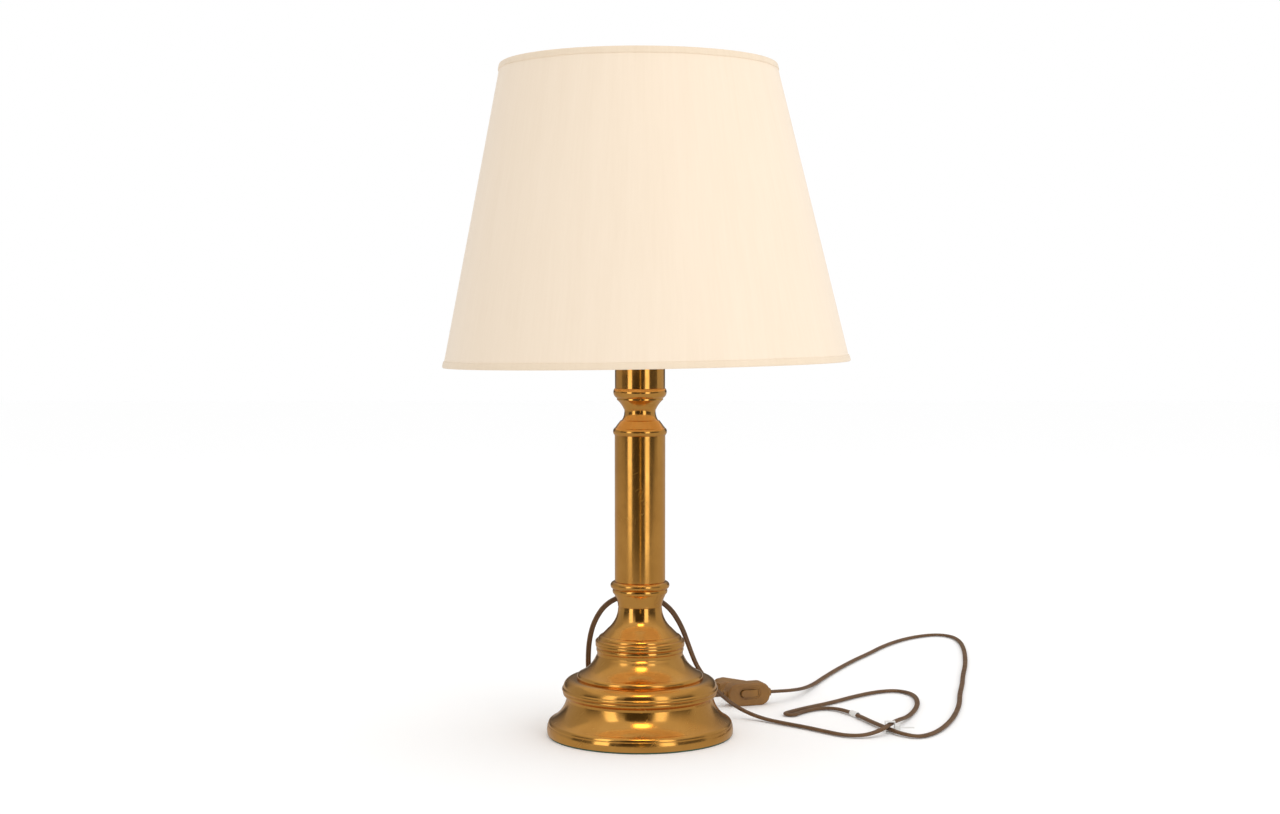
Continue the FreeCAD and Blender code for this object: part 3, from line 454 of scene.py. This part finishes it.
def shadeTrim(name, atTop):
    around = shade["around"]
    points, faces = [], []
    count = len(trimSection)
    random.seed(trim["topSeed"] if atTop else trim["bottomSeed"])
    phases = [random.uniform(0, 6.28) for k in range(4)]
    for j in range(around):
        angle = 2 * math.pi * j / around
        ripple = wander(trim["ripple"], phases[:2], angle)
        creep = wander(trim["creep"], phases[2:], angle)
        for inset, up in trimSection:
            onHem = trim["hemFrom"] < up < trim["hemTo"]
            onFace = trim["faceFrom"] <= up < trim["faceTo"] and inset < trim["faceInset"]
            rise = up + (creep if onHem else 0)
            swell = ripple * trim["swell"] if onFace else 0
            where = shadePoint(1 if atTop else 0, angle, inset - swell, -rise if atTop else rise)
            points.append(where * mm)
    for j in range(around):
        k = (j + 1) % around
        for i in range(count):
            n = (i + 1) % count
            faces.append((j * count + i, k * count + i, k * count + n, j * count + n))
    piece = addMesh(name, points, faces)
    facesOut(piece)
    soft = piece.modifiers.new("soft", "SUBSURF")
    soft.levels = soft.render_levels = 1
    return piece


skin = standIn(shadeSkin(), "shade", "shade_skin")
bottomTrim = standIn(shadeTrim("bottomTrim", False), "shade", "shade_bottom_trim")
topTrim = standIn(shadeTrim("topTrim", True), "shade", "shade_top_trim")
print("shade covered")


# materials
def newGroup(name, inputs, outputs):
    group = bpy.data.node_groups.new(name, "ShaderNodeTree")
    for label, kind, value in inputs:
        group.interface.new_socket(name=label, in_out="INPUT", socket_type=kind).default_value = value
    for label, kind in outputs:
        group.interface.new_socket(name=label, in_out="OUTPUT", socket_type=kind)
    return group, group.nodes.new("NodeGroupInput"), group.nodes.new("NodeGroupOutput")


def feed(tree, value, socket):
    # A colour or a number goes in as it is, and a socket is linked.
    if isinstance(value, tuple):
        socket.default_value = (*value, 1)
    elif isinstance(value, (int, float)):
        socket.default_value = value
    else:
        tree.links.new(value, socket)


def mathNode(tree, kind, a, b, clamp=False):
    node = tree.nodes.new("ShaderNodeMath")
    node.operation = kind
    node.use_clamp = clamp
    feed(tree, a, node.inputs[0])
    feed(tree, b, node.inputs[1])
    return node.outputs[0]


def times(tree, a, b):
    return mathNode(tree, "MULTIPLY", a, b)


def plus(tree, a, b, clamp=False):
    return mathNode(tree, "ADD", a, b, clamp)


def spread(tree, value, low, high, newLow=0.0, newHigh=1.0):
    node = tree.nodes.new("ShaderNodeMapRange")
    node.clamp = True
    for index, number in enumerate((value, low, high, newLow, newHigh)):
        feed(tree, number, node.inputs[index])
    return node.outputs[0]


def noiseAt(tree, vector, scale, detail, rough=0.5):
    node = tree.nodes.new("ShaderNodeTexNoise")
    node.inputs["Detail"].default_value = detail
    node.inputs["Roughness"].default_value = rough
    feed(tree, scale, node.inputs["Scale"])
    feed(tree, vector, node.inputs["Vector"])
    return node.outputs["Fac"]


def mixColour(tree, share, a, b):
    node = tree.nodes.new("ShaderNodeMix")
    node.data_type = "RGBA"
    for index, value in ((0, share), (6, a), (7, b)):
        feed(tree, value, node.inputs[index])
    return node.outputs[2]


def objectPoint(tree):
    return tree.nodes.new("ShaderNodeTexCoord").outputs["Object"]


def aroundAxis(tree, radius):
    # The surface unrolled: distance round the axis, and height, in metres.
    split = tree.nodes.new("ShaderNodeSeparateXYZ")
    tree.links.new(objectPoint(tree), split.inputs[0])
    angle = mathNode(tree, "ARCTAN2", split.outputs[1], split.outputs[0])
    return times(tree, angle, radius), split.outputs[2]


def vectorOf(tree, x, y, z=0.0):
    node = tree.nodes.new("ShaderNodeCombineXYZ")
    for index, value in enumerate((x, y, z)):
        feed(tree, value, node.inputs[index])
    return node.outputs[0]


# a middling radius of the turned brass, in metres
turnedRadius = 0.06


def buildEdgeWear():
    group, given, result = newGroup(
        "edgeWear", [("Reach", "NodeSocketFloat", 0.06), ("Breakup", "NodeSocketFloat", 60.0)],
        [("Edge", "NodeSocketFloat"), ("Crease", "NodeSocketFloat")])
    shape = group.nodes.new("ShaderNodeNewGeometry")
    patchy = noiseAt(group, objectPoint(group), given.outputs["Breakup"], 4)
    high = plus(group, 0.5, given.outputs["Reach"])
    low = mathNode(group, "SUBTRACT", 0.5, given.outputs["Reach"])
    edge = spread(group, shape.outputs["Pointiness"], 0.505, high)
    crease = spread(group, shape.outputs["Pointiness"], 0.495, low)
    broken = spread(group, patchy, 0.3, 0.65)
    group.links.new(times(group, edge, broken), result.inputs["Edge"])
    group.links.new(crease, result.inputs["Crease"])
    return group


def buildScratches():
    group, given, result = newGroup(
        "fineScratches", [("Amount", "NodeSocketFloat", 0.5), ("Length", "NodeSocketFloat", 1.0)],
        [("Mask", "NodeSocketFloat")])
    around, height = aroundAxis(group, turnedRadius)
    masks = []
    for lean, pitch in ((0.25, 900.0), (-0.4, 760.0), (1.4, 680.0)):
        u = plus(group, around, times(group, height, lean))
        v = mathNode(group, "SUBTRACT", height, times(group, around, lean))
        stretched = mathNode(group, "DIVIDE", times(group, u, 45.0), given.outputs["Length"])
        lines = noiseAt(group, vectorOf(group, stretched, times(group, v, pitch), lean), 1.0, 1.0)
        masks.append(spread(group, lines, 0.70, 0.78))
    total = plus(group, plus(group, masks[0], masks[1]), masks[2], clamp=True)
    group.links.new(times(group, total, given.outputs["Amount"]), result.inputs["Mask"])
    return group


def buildClothWeave():
    group, given, result = newGroup(
        "clothWeave", [("Thread", "NodeSocketFloat", 0.0005), ("Slub", "NodeSocketFloat", 0.5),
                       ("Turn", "NodeSocketFloat", 0.17)],
        [("Height", "NodeSocketFloat"), ("Tone", "NodeSocketFloat")])
    around, height = aroundAxis(group, given.outputs["Turn"])
    u = mathNode(group, "DIVIDE", around, given.outputs["Thread"])
    v = mathNode(group, "DIVIDE", height, given.outputs["Thread"])
    warp = noiseAt(group, vectorOf(group, u, times(group, v, 0.03)), 1.0, 2.0)
    weft = noiseAt(group, vectorOf(group, times(group, u, 0.03), v, 7.0), 1.0, 2.0)
    slubPlace = vectorOf(group, times(group, u, 0.16), times(group, v, 0.008), 3.0)
    slubs = noiseAt(group, slubPlace, 1.0, 3.0)
    broadPlace = vectorOf(group, times(group, u, 0.03), times(group, v, 0.003), 5.0)
    broad = noiseAt(group, broadPlace, 1.0, 2.0)
    fabric = plus(group, times(group, warp, 0.6), times(group, weft, 0.4))
    tone = plus(group, times(group, slubs, given.outputs["Slub"]),
                    times(group, broad, 0.5))
    group.links.new(fabric, result.inputs["Height"])
    group.links.new(plus(group, tone, times(group, warp, 0.3)), result.inputs["Tone"])
    return group


def buildHandling():
    group, given, result = newGroup(
        "handlingMarks", [("Scale", "NodeSocketFloat", 18.0), ("Contrast", "NodeSocketFloat", 0.5)],
        [("Smudge", "NodeSocketFloat"), ("Speck", "NodeSocketFloat")])
    point = objectPoint(group)
    cloud = noiseAt(group, point, given.outputs["Scale"], 5, 0.6)
    low = mathNode(group, "SUBTRACT", 0.5, times(group, given.outputs["Contrast"], 0.25))
    high = plus(group, 0.5, times(group, given.outputs["Contrast"], 0.25))
    group.links.new(spread(group, cloud, low, high), result.inputs["Smudge"])
    group.links.new(spread(group, noiseAt(group, point, 700.0, 2), 0.66, 0.74), result.inputs["Speck"])
    return group


edgeWear = buildEdgeWear()
fineScratches = buildScratches()
clothWeave = buildClothWeave()
handlingMarks = buildHandling()


def placeGroup(tree, group, **values):
    node = tree.nodes.new("ShaderNodeGroup")
    node.node_tree = group
    for label, value in values.items():
        node.inputs[label].default_value = value
    return node


def newMaterial(name, metallic=0.0, roughness=0.5, **sockets):
    material = bpy.data.materials.new(name)
    material.use_nodes = True
    tree = material.node_tree
    shader = tree.nodes["Principled BSDF"]
    shader.inputs["Metallic"].default_value = metallic
    shader.inputs["Roughness"].default_value = roughness
    for label, value in sockets.items():
        shader.inputs[label.replace("_", " ")].default_value = value
    return material, tree, shader


def addBump(tree, shader, height, strength, distance):
    bump = tree.nodes.new("ShaderNodeBump")
    bump.inputs["Strength"].default_value = strength
    bump.inputs["Distance"].default_value = distance
    tree.links.new(height, bump.inputs["Height"])
    tree.links.new(bump.outputs[0], shader.inputs["Normal"])


brass = {"bright": (0.87, 0.455, 0.115), "deep": (0.62, 0.285, 0.058), "tarnish": (0.20, 0.085, 0.024),
         "gloss": 0.11, "smudged": 0.55, "specked": 0.18, "edged": 0.5, "scratched": 0.12,
         "lathePitch": 0.0007, "ringDepth": 0.35, "bumpStrength": 0.12, "bumpDepth": 0.00006}


def brassMaterial(name, haze, tarnish):
    material, tree, shader = newMaterial(name, metallic=1.0, roughness=brass["gloss"])
    marks = placeGroup(tree, handlingMarks, Scale=22.0, Contrast=0.7)
    wear = placeGroup(tree, edgeWear, Reach=0.08, Breakup=90.0)
    scratch = placeGroup(tree, fineScratches, Amount=0.8, Length=1.0)
    smudge = marks.outputs["Smudge"]
    base = mixColour(tree, times(tree, smudge, brass["smudged"]), brass["bright"], brass["deep"])
    aged = mixColour(tree, times(tree, wear.outputs["Crease"], tarnish), base, brass["tarnish"])
    specked = mixColour(tree, times(tree, marks.outputs["Speck"], brass["specked"]), aged, brass["tarnish"])
    worn = mixColour(tree, times(tree, wear.outputs["Edge"], brass["edged"]), specked, brass["bright"])
    tree.links.new(worn, shader.inputs["Base Color"])
    rough = plus(tree, brass["gloss"], times(tree, smudge, haze))
    rough = plus(tree, rough, times(tree, scratch.outputs["Mask"], brass["scratched"]), clamp=True)
    tree.links.new(rough, shader.inputs["Roughness"])
    around, height = aroundAxis(tree, turnedRadius)
    across = times(tree, around, 3.0)
    upward = mathNode(tree, "DIVIDE", height, brass["lathePitch"])
    rings = noiseAt(tree, vectorOf(tree, across, upward), 1.0, 2.0)
    relief = mathNode(tree, "SUBTRACT", times(tree, rings, brass["ringDepth"]), scratch.outputs["Mask"])
    addBump(tree, shader, relief, brass["bumpStrength"], brass["bumpDepth"])
    return material


plastic = {"smudged": 0.6, "creaseDarkened": 0.6, "haze": 0.12, "bumpDepth": 0.0001}


def plasticMaterial(name, colour, dark, roughness, grain, relief):
    material, tree, shader = newMaterial(name, roughness=roughness)
    marks = placeGroup(tree, handlingMarks, Scale=60.0, Contrast=0.8)
    wear = placeGroup(tree, edgeWear, Reach=0.08, Breakup=200.0)
    mottled = mixColour(tree, times(tree, marks.outputs["Smudge"], plastic["smudged"]), colour, dark)
    # creases and hollows are mixed towards the darker colour
    creaseDarkened = mixColour(tree, times(tree, wear.outputs["Crease"], plastic["creaseDarkened"]), mottled, dark)
    tree.links.new(creaseDarkened, shader.inputs["Base Color"])
    tree.links.new(plus(tree, roughness, times(tree, marks.outputs["Smudge"], plastic["haze"])),
                   shader.inputs["Roughness"])
    addBump(tree, shader, noiseAt(tree, objectPoint(tree), grain, 3), relief, plastic["bumpDepth"])
    return material


metal = {"haze": 0.15, "bumpStrength": 0.15, "bumpDepth": 0.0001}


def metalMaterial(name, colour, dark, roughness, grain=900.0):
    material, tree, shader = newMaterial(name, metallic=1.0, roughness=roughness)
    marks = placeGroup(tree, handlingMarks, Scale=70.0, Contrast=0.9)
    tree.links.new(mixColour(tree, marks.outputs["Smudge"], colour, dark), shader.inputs["Base Color"])
    tree.links.new(plus(tree, roughness, times(tree, marks.outputs["Smudge"], metal["haze"])),
                   shader.inputs["Roughness"])
    grained = noiseAt(tree, objectPoint(tree), grain, 3)
    addBump(tree, shader, grained, metal["bumpStrength"], metal["bumpDepth"])
    return material


cloth = {"light": (0.875, 0.742, 0.592), "shade": (0.842, 0.705, 0.552), "trim": (0.825, 0.688, 0.53),
         "trimShade": (0.78, 0.64, 0.48), "thread": 0.00045, "radius": 0.17, "toneFrom": 0.38, "toneTo": 0.9,
         "bumpDepth": 0.0002}


def clothMaterial(name, light, dark, slub, relief):
    material, tree, shader = newMaterial(name, roughness=0.62, Sheen_Weight=0.25, Sheen_Roughness=0.4,
                                         Specular_IOR_Level=0.25)
    weave = placeGroup(tree, clothWeave, Thread=cloth["thread"], Slub=slub, Turn=cloth["radius"])
    tone = spread(tree, weave.outputs["Tone"], cloth["toneFrom"], cloth["toneTo"])
    tree.links.new(mixColour(tree, tone, light, dark), shader.inputs["Base Color"])
    addBump(tree, shader, weave.outputs["Height"], relief, cloth["bumpDepth"])
    return material


polishedBrass = brassMaterial("polishedBrass", haze=0.10, tarnish=0.85)
satinBrass = brassMaterial("satinBrass", haze=0.14, tarnish=0.9)
# colour, darker colour, roughness, then the fineness of the grain and for plastic its relief
brownFlex = plasticMaterial("brownFlex", (0.155, 0.078, 0.030), (0.085, 0.041, 0.017), 0.34, 300.0, 0.15)
brownPlastic = plasticMaterial("brownPlastic", (0.30, 0.142, 0.030), (0.17, 0.076, 0.017), 0.34, 260.0, 0.25)
whitePlastic = plasticMaterial("whitePlastic", (0.86, 0.86, 0.84), (0.74, 0.73, 0.70), 0.38, 220.0, 0.2)
darkPlastic = plasticMaterial("darkPlastic", (0.03, 0.024, 0.019), (0.015, 0.012, 0.01), 0.28, 240.0, 0.2)
porcelain = plasticMaterial("porcelain", (0.84, 0.82, 0.77), (0.70, 0.67, 0.60), 0.22, 120.0, 0.1)
feltPad = plasticMaterial("feltPad", (0.05, 0.11, 0.07), (0.02, 0.05, 0.035), 0.95, 1600.0, 0.9)
zincSteel = metalMaterial("zincSteel", (0.62, 0.61, 0.58), (0.44, 0.42, 0.38), 0.32)
castIron = metalMaterial("castIron", (0.10, 0.10, 0.10), (0.05, 0.045, 0.04), 0.6, 400.0)
bulbMetal = metalMaterial("bulbMetal", (0.74, 0.73, 0.70), (0.55, 0.53, 0.49), 0.25)
tungsten = metalMaterial("tungsten", (0.30, 0.29, 0.28), (0.18, 0.17, 0.16), 0.4)
pinMetal = metalMaterial("pinMetal", (0.80, 0.74, 0.62), (0.60, 0.52, 0.38), 0.2)
coatedWire = plasticMaterial("coatedWire", (0.84, 0.83, 0.79), (0.70, 0.68, 0.62), 0.35, 200.0, 0.15)
shadeCloth = clothMaterial("shadeCloth", cloth["light"], cloth["shade"], slub=0.55, relief=0.35)
trimCloth = clothMaterial("trimCloth", cloth["trim"], cloth["trimShade"], slub=0.5, relief=0.5)


def bulbGlassMaterial():
    material, tree, shader = newMaterial("bulbGlass", roughness=0.02, Transmission_Weight=1.0, IOR=1.45)
    marks = placeGroup(tree, handlingMarks, Scale=30.0, Contrast=0.9)
    tree.links.new(mixColour(tree, marks.outputs["Smudge"], (0.97, 0.98, 0.98), (0.92, 0.93, 0.93)),
                   shader.inputs["Base Color"])
    tree.links.new(spread(tree, marks.outputs["Smudge"], 0, 1, 0.01, 0.06), shader.inputs["Roughness"])
    return material


bulbGlass = bulbGlassMaterial()


def finish(piece, material):
    piece.data.materials.clear()
    piece.data.materials.append(material)


def finishNode(node, material):
    for place in nodes[node].material_slots:
        place.material = material


satinNames = ("brassFoot", "brassBell")
for piece in brassPieces:
    finish(piece, satinBrass if piece.name in satinNames else polishedBrass)
finish(lampFlex, brownFlex)
finish(plugFlex, brownFlex)
finish(holderShell, darkPlastic)
finish(bulbCap, bulbMetal)
finish(skin, shadeCloth)
finish(bottomTrim, trimCloth)
finish(topTrim, trimCloth)
for node, material in {
        "base_pad": feltPad, "threaded_rod": zincSteel, "lower_nut": zincSteel, "lower_washer": zincSteel,
        "ballast": castIron, "cup_nut": zincSteel, "holder_nut": zincSteel, "holder_cap": darkPlastic,
        "holder_core": porcelain, "holder_sleeve": satinBrass, "holder_contact": satinBrass,
        "shade_seat_ring": darkPlastic, "shade_clamp_ring": darkPlastic, "shade_fitter": coatedWire,
        "shade_arm_1": coatedWire, "shade_arm_2": coatedWire, "shade_arm_3": coatedWire,
        "shade_bottom_wire": coatedWire, "shade_top_wire": coatedWire, "bulb_contact": bulbMetal,
        "bulb_glass": bulbGlass, "bulb_stem": bulbGlass, "bulb_filament": tungsten,
        "cord_bushing": brownPlastic,
        "switch_front": brownPlastic, "switch_back": brownPlastic, "switch_rocker": brownPlastic,
        "switch_screws": zincSteel, "plug_body": brownPlastic, "plug_pins": pinMetal,
        "marker_sleeve": whitePlastic, "cable_tie": whitePlastic}.items():
    finishNode(node, material)
print("materials applied")


# floor, light and what the brass reflects
studio = {"floorFrom": (-5.0, -1.2), "floorTo": (5.0, 7.5), "surroundLeft": 0.82, "surroundRight": 1.16,
          "roomRadius": 14, "roomGlow": (0.08, 0.58), "roomColour": (1, 0.95, 0.88),
          "dimBelow": 0.10, "brightAbove": 0.70,
          "paperRise": 0.0002, "paperGlow": 0.45, "paperColour": (1, 0.95, 0.87)}


def plainMaterial(name, colour, roughness):
    return newMaterial(name, roughness=roughness, Specular_IOR_Level=0.0, Base_Color=(*colour, 1))[0]


def flatSheet(name, height):
    (left, front), (right, back) = studio["floorFrom"], studio["floorTo"]
    corners = [(left, front, height), (right, front, height), (right, back, height), (left, back, height)]
    return addMesh(name, corners, [(0, 1, 2, 3)], smooth=False)


floor = flatSheet("floor", 0)
finish(floor, plainMaterial("palePaper", (1.0, 1.0, 1.0), 0.9))
floor.visible_glossy = False


def softLight(name, place, aim, size, power, colour=(1, 1, 1)):
    data = bpy.data.lights.new(name, "AREA")
    data.shape = "RECTANGLE"
    data.size, data.size_y = size
    data.energy = power
    data.color = colour
    lamp = bpy.data.objects.new(name, data)
    lamp.location = place
    lamp.rotation_mode = "QUATERNION"
    lamp.rotation_quaternion = (Vector(aim) - Vector(place)).to_track_quat("-Z", "Y")
    lamp.visible_camera = False
    lamp.visible_glossy = False
    bpy.context.collection.objects.link(lamp)


softLight("overhead", place=(0.0, 0.1, 2.4), aim=(0, 0, 0), size=(2.6, 2.6), power=5)
softLight("rightKey", place=(1.5, -1.9, 1.2), aim=(0, 0, 0.4), size=(1.2, 1.2), power=7,
          colour=(1, 0.985, 0.96))
softLight("leftFill", place=(-1.7, -1.6, 1.0), aim=(0, 0, 0.4), size=(1.2, 1.4), power=1,
          colour=(1, 0.97, 0.93))


def glowMaterial(name, colour, strength):
    material = bpy.data.materials.new(name)
    material.use_nodes = True
    tree = material.node_tree
    tree.nodes.clear()
    glow = tree.nodes.new("ShaderNodeEmission")
    glow.inputs["Color"].default_value = (*colour, 1)
    glow.inputs["Strength"].default_value = strength
    out = tree.nodes.new("ShaderNodeOutputMaterial")
    tree.links.new(glow.outputs[0], out.inputs["Surface"])
    return material


def reflectedCard(name, azimuth, distance, width, low, high, strength, colour=(1, 1, 1)):
    # An upright card round the lamp, azimuth 0 in front, seen only in reflections and through glass.
    a = math.radians(azimuth)
    centre = Vector((math.sin(a), -math.cos(a), 0)) * distance
    side = Vector((math.cos(a), math.sin(a), 0)) * (width / 2)
    card = addMesh(name, [centre - side + Vector((0, 0, low)), centre + side + Vector((0, 0, low)),
                          centre + side + Vector((0, 0, high)), centre - side + Vector((0, 0, high))],
                   [(0, 1, 2, 3)], smooth=False)
    finish(card, glowMaterial(name, colour, strength))
    card.visible_camera = card.visible_diffuse = card.visible_shadow = False


reflectedCard("darkFront", azimuth=0, distance=2.7, width=2.5, low=-0.5, high=2.6, strength=0.05,
              colour=(1, 0.85, 0.6))
reflectedCard("leftBox", azimuth=-47, distance=2.2, width=0.75, low=-0.7, high=2.0, strength=1.6,
              colour=(1, 0.96, 0.86))
reflectedCard("rightBox", azimuth=33, distance=2.2, width=0.75, low=-0.7, high=2.0, strength=1.6,
              colour=(1, 0.96, 0.86))
reflectedCard("warmFront", azimuth=2, distance=1.95, width=0.10, low=-0.25, high=0.35, strength=1.1,
              colour=(1, 0.72, 0.25))
reflectedCard("warmSpot", azimuth=4, distance=1.1, width=0.55, low=1.4, high=2.1, strength=8.0,
              colour=(1, 0.72, 0.28))
reflectedCard("leftWall", azimuth=-115, distance=2.6, width=2.4, low=-0.3, high=2.2, strength=0.36,
              colour=(1, 0.98, 0.95))
reflectedCard("rightWall", azimuth=112, distance=2.6, width=2.6, low=-0.3, high=2.2, strength=0.45,
              colour=(1, 0.98, 0.95))


def reflectedRoom(radius, strength, colour):
    # A dim room all round, which only reflections see.
    rows, around = 16, 32
    points = []
    for i in range(rows + 1):
        lean = math.pi * i / rows
        for j in range(around):
            turn = 2 * math.pi * j / around
            points.append((radius * math.sin(lean) * math.cos(turn), radius * math.sin(lean) * math.sin(turn),
                           radius * math.cos(lean)))
    faces = []
    for i in range(rows):
        for j in range(around):
            k = (j + 1) % around
            faces.append((i * around + j, i * around + k, (i + 1) * around + k, (i + 1) * around + j))
    room = addMesh("reflectedRoom", points, faces)
    glow = glowMaterial("roomGlow", colour, 1.0)
    tree = glow.node_tree
    split = tree.nodes.new("ShaderNodeSeparateXYZ")
    tree.links.new(objectPoint(tree), split.inputs[0])
    dim, bright = radius * studio["dimBelow"], radius * studio["brightAbove"]
    rising = spread(tree, split.outputs[2], dim, bright, *strength)
    tree.links.new(rising, tree.nodes["Emission"].inputs["Strength"])
    finish(room, glow)
    room.visible_camera = room.visible_diffuse = room.visible_shadow = room.visible_transmission = False


def reflectedPaper(strength, colour):
    # The paper as reflections show it, dimmer than the camera sees it.
    paper = flatSheet("reflectedPaper", studio["paperRise"])
    finish(paper, glowMaterial("paperGlow", colour, strength))
    paper.visible_camera = paper.visible_diffuse = paper.visible_shadow = paper.visible_transmission = False


reflectedPaper(studio["paperGlow"], studio["paperColour"])
reflectedRoom(studio["roomRadius"], studio["roomGlow"], studio["roomColour"])

world = bpy.data.worlds.new("studio")
bpy.context.scene.world = world
world.use_nodes = True
world.cycles_visibility.glossy = False
tree = world.node_tree
tree.nodes.clear()
path = tree.nodes.new("ShaderNodeLightPath")
seen = tree.nodes.new("ShaderNodeBackground")
lit = tree.nodes.new("ShaderNodeBackground")
for plain in (seen, lit):
    plain.inputs["Color"].default_value = (1, 1, 1, 1)
seen.inputs["Strength"].default_value = 1.0
direction = tree.nodes.new("ShaderNodeTexCoord")
sideways = tree.nodes.new("ShaderNodeSeparateXYZ")
tree.links.new(direction.outputs["Generated"], sideways.inputs[0])
tree.links.new(spread(tree, sideways.outputs[0], -1, 1, studio["surroundLeft"], studio["surroundRight"]),
               lit.inputs["Strength"])
direct = tree.nodes.new("ShaderNodeMixShader")
out = tree.nodes.new("ShaderNodeOutputWorld")
tree.links.new(path.outputs["Is Camera Ray"], direct.inputs[0])
tree.links.new(lit.outputs[0], direct.inputs[1])
tree.links.new(seen.outputs[0], direct.inputs[2])
tree.links.new(direct.outputs[0], out.inputs["Surface"])
bpy.context.scene.view_settings.view_transform = "Standard"
print("studio lit")

bpy.context.view_layer.update()
